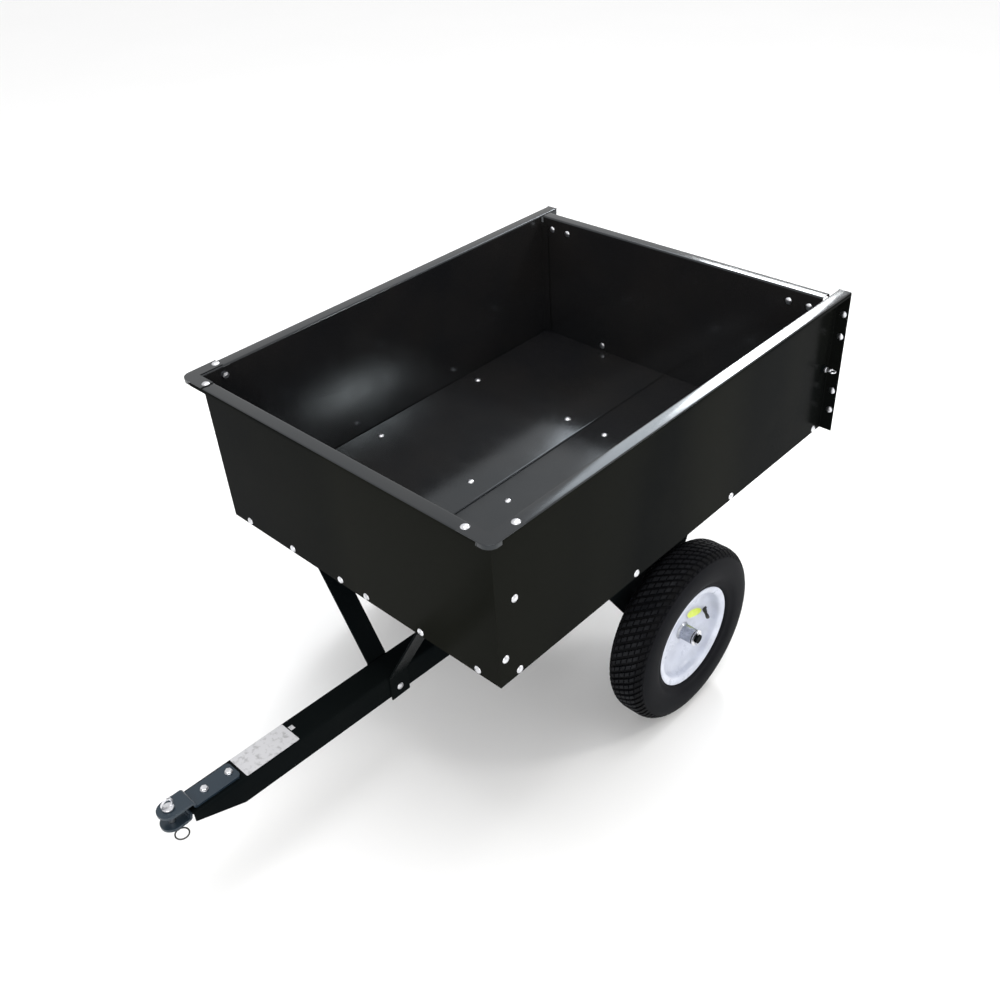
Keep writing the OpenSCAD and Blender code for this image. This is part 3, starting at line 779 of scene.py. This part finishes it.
s = Shape()
m = on_tongue()
head = EAR_HIGH + EAR_T + 0.0005
s.lathe([(0, -0.032), (0.0045, -0.032), (PIN_R, -0.0297), (PIN_R, head), (0.0102, head + 0.0001),
         (0.0107, head + 0.0009), (0.0107, head + 0.0035), (0.0098, head + 0.0046),
         (0.0, head + 0.0049)], 28, m)
s.lathe(wire_ring(0.010, 0.0024, 12), 40, m @ Matrix.Translation((0, 0, EAR_HIGH + EAR_T + 0.013))
        @ Matrix.Rotation(math.pi / 2, 4, "Y"), closed=True)
s.make("drawbar_pin", zinc, "hitch_pin", "zinc_steel", ["hitch_pin"])

s = Shape()
clip = m @ Matrix.Translation((0, 0, CLIP_Z))
s.lathe([(0, -0.016), (0.0012, -0.016), (CLIP_WIRE, -0.0155), (CLIP_WIRE, 0.018), (0, 0.018)], 12,
        clip @ Matrix.Rotation(math.pi / 2, 4, "Y"))
s.lathe(wire_ring(0.0126, CLIP_WIRE, 10), 44, clip @ Matrix.Translation((0.029, 0, 0)), closed=True)
s.make("spring_clip", dark_wire, "hitch_clip", "zinc_steel", ["hitch_clip"])

# ------------------------------------------------------------ retaining pins


KEEPER_X, KEEPER_Y, KEEPER_Z = 0.376, REAR - 0.027, RIM - 0.175


def keep_pin(sign, side):
    """Retaining pin with a pull ring, and its collar on the side wall."""
    out = (sign, 0, 0)
    s = Shape()
    m = facing((sign * KEEPER_X, KEEPER_Y, KEEPER_Z), out)
    s.lathe([(0, 0), (0.0032, 0), (0.004, 0.001), (0.004, 0.017), (0.0064, 0.0172),
             (0.0064, 0.0198), (0.004, 0.020), (0.004, 0.029), (0, 0.0295)], 18, m)
    s.lathe(wire_ring(0.0068, 0.0015, 10), 28, m @ Matrix.Translation((0, 0, 0.0336))
            @ Matrix.Rotation(math.pi / 2, 4, "X"), closed=True)
    s.make("keeper_" + side, zinc, "pin_" + side, "zinc_steel", ["retaining_pin_" + side])
    s = Shape()
    m = facing((sign * WALL, KEEPER_Y, KEEPER_Z), out)
    s.lathe([(0.0041, 0), (0.008, 0), (0.008, 0.0048), (0.0072, 0.006), (0.0041, 0.006)], 24, m,
            closed=True)
    s.make("keeper_collar_" + side, frame_black, "bed", "black_paint", ["pin_collar_" + side])


keep_pin(1, "left")
keep_pin(-1, "right")

# ------------------------------------------------------------------ the wheels

# Profiles in millimetres: the tread's outer line as (distance from the middle, radius),
# the side as (distance, radius) from the shoulder to the bead
CREST = [(0.0, 203.0), (18.0, 203.0), (26.0, 201.6), (35.0, 197.0), (43.0, 188.0), (47.5, 176.0)]
SIDE = [(43.0, 187.0), (46.4, 180.0), (48.2, 171.0), (48.9, 161.0), (48.4, 150.0), (47.0, 140.5),
        (46.2, 139.0), (44.4, 134.0), (41.8, 129.5), (42.2, 126.5), (40.0, 122.5), (37.0, 119.5),
        (33.6, 117.0), (31.4, 108.0), (31.0, 102.4)]


def crest(a):
    """Radius of the tread's outer line at a distance from the tyre's middle."""
    a = abs(a)
    for (a0, r0), (a1, r1) in zip(CREST, CREST[1:]):
        if a <= a1:
            return r0 + (r1 - r0) * (a - a0) / (a1 - a0)
    return CREST[-1][1]


# Rows of lugs on one side: centre, half width, shift in lugs
ROWS = ((0.0, 5.2, 0.0), (12.6, 5.0, 0.5), (24.2, 4.4, 0.0), (34.2, 4.0, 0.5), (42.6, 3.2, 0.0))
LUGS = 72
TREAD_DEPTH = 5.2
LUG_ROOT = -6.4
LUG_SKEW = 0.016


def tyre(sign, name, node, body):
    """Tyre with its cavity, and rows of skewed lugs on the tread."""
    to_wheel = facing((sign * WHEEL_X, AXLE.y, AXLE.z), (sign, 0, 0))
    tread = [(crest(a) - TREAD_DEPTH, a) for a in (0, 8, 16, 22, 28, 34, 39)]
    half = tread + [(r, a) for a, r in SIDE]
    profile = [(r, -a) for r, a in reversed(half[1:])] + half
    profile += [(103.0, 22.0), (112.0, 30.0), (140.0, 39.0), (140.0, -39.0), (112.0, -30.0),
                (103.0, -22.0)]
    s = Shape()
    s.lathe(in_mm(profile), 96, to_wheel, closed=True)
    for centre, reach, shift in ROWS:
        for mirror in ((1,) if centre == 0 else (1, -1)):
            for k in range(LUGS):
                turn = 2 * math.pi * (k + shift) / LUGS
                a_in, a_out = centre - reach, centre + reach
                span = 0.0245 if centre < 30 else 0.0265
                pts = []
                for lift, grow in ((LUG_ROOT, 1.15), (0.0, 0.90)):
                    for a in (a_in, a_out):
                        edge = centre + (a - centre) * grow
                        r = (crest(edge) + lift) * MM
                        for w in (-span * grow, span * grow):
                            skew = LUG_SKEW * (1 if a == a_in else -1) * mirror
                            ang = turn + w + skew
                            pts.append((r * math.cos(ang), r * math.sin(ang), edge * mirror * MM))
                s.add(pts, [(0, 1, 3, 2), (4, 6, 7, 5), (0, 4, 5, 1), (2, 3, 7, 6), (0, 2, 6, 4),
                            (1, 5, 7, 3)], to_wheel)
    finish = tyre_rubber("tyre_rubber_" + name[-5:].strip("_"), sign * WHEEL_X, AXLE, TYRE_R)
    s.make(name, finish, body, "tyre", [node], sharp=40)


def bowl(name, node, body, out_x, direction):
    """One pressed rim half: rolled flange, bead seat and a dished centre."""
    m = facing((out_x, AXLE.y, AXLE.z), (direction, 0, 0))
    front = [(116.4, 34.9), (117.0, 35.9), (116.4, 36.9), (113.0, 37.1), (107.5, 36.4),
             (103.0, 35.2), (100.4, 33.0), (99.2, 30.0), (98.4, 24.0), (97.0, 18.5), (93.5, 13.5),
             (86.0, 9.4), (74.0, 6.8), (60.0, 5.2), (46.0, 4.4), (36.0, 4.6), (31.0, 6.4),
             (27.0, 7.0), (17.4, 7.0)]
    back = [(17.4, 0.4), (46.0, 0.4), (84.0, 0.5), (95.5, 1.0), (96.8, 16.0), (101.2, 20.5),
            (101.3, 30.4), (104.8, 33.2), (112.0, 34.2)]
    s = Shape()
    s.lathe(in_mm(front + back), 112, m, closed=True)
    s.make(name, enamel, body, "rim_paint", [node], sharp=38)


# Valve: distance of its foot from the axle, height on the dish, lean inward and outward
VALVE_R, VALVE_FOOT = 0.0815, 0.0065
VALVE_IN, VALVE_OUT = 0.62, 0.785


def wheel(sign, side):
    """Tyre, both rim halves, hub with its bushes, and valve of one wheel."""
    body = "wheel_" + side
    x = sign * WHEEL_X
    tyre(sign, "tread_tyre_" + side, "tyre_" + side, body)
    bowl("rim_face_" + side, "rim_outer_" + side, body, x, sign)
    bowl("rim_back_" + side, "rim_inner_" + side, body, x, -sign)
    m = facing((x, AXLE.y, AXLE.z), (sign, 0, 0))
    s = Shape()
    tube = [(13.05, -58.5), (16.4, -58.5), (17.0, -57.6), (17.0, -9.6), (19.5, -7.4), (17.2, -7.0),
            (17.2, 7.0), (20.5, 7.4), (17.0, 11.5), (17.0, 38.6), (16.2, 39.5), (13.05, 39.5)]
    s.lathe(in_mm(tube), 48, m, closed=True)
    s.make("hub_tube_" + side, dull_zinc, body, "zinc_steel", ["hub_" + side])
    s = Shape()
    for a0, a1, a2 in ((-61.0, -58.5, -34.0), (42.0, 39.5, 15.0)):
        lip = a0 + (0.6 if a0 < 0 else -0.6)
        ringed = [(10.1, a0), (16.2, a0), (17.0, lip), (17.0, a1), (13.0, a1), (13.0, a2),
                  (10.1, a2)]
        s.lathe(in_mm(ringed), 40, m, closed=True)
    s.make("hub_bushes_" + side, plastic, body, "black_plastic", ["bushes_" + side])
    s = Shape()
    turn = math.radians(5 if sign > 0 else 175)
    foot = Vector((VALVE_R * math.cos(turn), VALVE_R * math.sin(turn), VALVE_FOOT))
    lean = Vector((-VALVE_IN * math.cos(turn), -VALVE_IN * math.sin(turn), VALVE_OUT))
    stem_line = [(0, 0.4), (6.6, 0.4), (6.0, 1.6), (4.7, 3.4), (4.5, 10.0), (3.7, 14.0),
                 (3.3, 18.0), (3.3, 22.2), (4.1, 22.4), (4.3, 28.6), (3.7, 29.6), (0, 29.8)]
    s.lathe(in_mm(stem_line), 20, m @ facing(foot, lean))
    s.make("valve_stem_" + side, plastic, body, "black_plastic", ["valve_" + side])


wheel(1, "left")
wheel(-1, "right")

# ---------------------------------------------------------- finishes on CAD nodes

FINISHES = {
    frame_black: ["axle_bracket_left", "axle_bracket_right", "tongue_bracket_left",
                  "tongue_bracket_right", "axle"],
    black: ["tailgate_guide_left", "tailgate_guide_right", "tailgate_bracket_left",
            "tailgate_bracket_right", "tailgate_rail"],
    zinc: ["axle_spacers", "axle_washers", "cotter_pins"],
}
for finish, names in FINISHES.items():
    for name in names:
        slots = frame["nodes"][name].data.materials
        if not slots:
            slots.append(finish)
        for k in range(len(slots)):
            slots[k] = finish


# Outer face of the left rim's dish in millimetres: (radius, height)
DISH = [(27.0, 7.0), (31.0, 6.4), (36.0, 4.6), (46.0, 4.4), (60.0, 5.2), (74.0, 6.8), (86.0, 9.4)]


def dish(r):
    """Height of the dish's outer face at a radius, both in metres."""
    r /= MM
    for (r0, a0), (r1, a1) in zip(DISH, DISH[1:]):
        if r <= r1:
            return (a0 + (a1 - a0) * max(r - r0, 0.0) / (r1 - r0)) * MM
    return DISH[-1][1] * MM


def spot_label(name, finish, long, wide, lift):
    """Blank oval film on the left rim's dish, standing just off the enamel."""
    m = facing((WHEEL_X, AXLE.y, AXLE.z), (1, 0, 0))
    centre = Vector((0.044, 0.019))
    lean = math.radians(-24)
    along = Vector((math.cos(lean), math.sin(lean)))
    across = Vector((-along.y, along.x))
    points, faces = [], []
    rings, spokes = 6, 36
    for i in range(rings + 1):
        for k in range(spokes):
            a = 2 * math.pi * k / spokes
            p = (centre + along * (long * i / rings * math.cos(a))
                 + across * (wide * i / rings * math.sin(a)))
            points.append((p.x, p.y, dish(p.length) + lift))
    for i in range(rings):
        for k in range(spokes):
            n = (k + 1) % spokes
            faces.append((i * spokes + k, i * spokes + n, (i + 1) * spokes + n,
                          (i + 1) * spokes + k))
    Shape().add(points, faces, m).make(name, finish, "wheel_left", "label", [])


spot_label("spot_label_edge", label_film, 0.031, 0.0135, 0.0007)
spot_label("spot_label", lime, 0.028, 0.0105, 0.0010)

# ------------------------------------------------------- floor, lights, camera

ground_mesh = bpy.data.meshes.new("studio_floor")
reach = 40
ground_mesh.from_pydata([(-reach, -reach, 0), (reach, -reach, 0), (reach, reach, 0),
                         (-reach, reach, 0)], [], [(0, 1, 2, 3)])
ground_mesh.materials.append(pale_ground("studio_floor"))
ground = bpy.data.objects.new("studio_floor", ground_mesh)
ground.location.z = -0.0005
bpy.context.scene.collection.objects.link(ground)


def softbox(name, place, target, size, power, tint=(1, 1, 1), long=None):
    """Rectangular lamp at a place, aimed at a target."""
    light = bpy.data.lights.new(name, "AREA")
    light.energy = power
    light.color = tint
    light.shape = "RECTANGLE"
    light.size = size
    light.size_y = long or size
    lamp = bpy.data.objects.new(name, light)
    lamp.location = place
    aim = Vector(target) - Vector(place)
    lamp.rotation_euler = aim.to_track_quat("-Z", "Y").to_euler()
    bpy.context.scene.collection.objects.link(lamp)


softbox("key", (-0.90, 2.70, 2.25), (0.15, 0.35, 0.75), 0.62, 34, long=0.62)
softbox("key_halo", (-1.05, 2.55, 2.75), (0.15, 0.25, 0.75), 1.3, 20, (0.90, 0.95, 1.0), long=1.0)
softbox("wall_glint", (1.70, 1.53, 1.77), (-0.156, 0.21, 0.506), 0.36, 10, (1.0, 0.99, 0.95),
        long=0.17)
softbox("front_fill", (3.2, -3.4, 2.6), (0.0, 0.0, 0.4), 2.6, 50, (1.0, 0.98, 0.95))
softbox("top", (0.3, 0.1, 6.0), (0.0, 0.0, 0.0), 3.0, 120)

world = bpy.data.worlds.new("studio")
world.use_nodes = True
world.node_tree.nodes["Background"].inputs["Color"].default_value = (1.0, 1.0, 1.0, 1.0)
world.node_tree.nodes["Background"].inputs["Strength"].default_value = 1.0
bpy.context.scene.world = world
bpy.context.scene.view_settings.view_transform = "Standard"

CAMERA_PLACE = (1.293, -1.142, 1.799)
CAMERA_TURN = (53.51, 3.2, 43.3)  # degrees about X, Y and Z
lens = bpy.data.cameras.new("camera")
lens.sensor_width = 36.0
lens.lens = 37.95
camera = bpy.data.objects.new("camera", lens)
camera.location = CAMERA_PLACE
camera.rotation_euler = tuple(math.radians(a) for a in CAMERA_TURN)
bpy.context.scene.collection.objects.link(camera)
bpy.context.scene.camera = camera

bpy.context.view_layer.update()
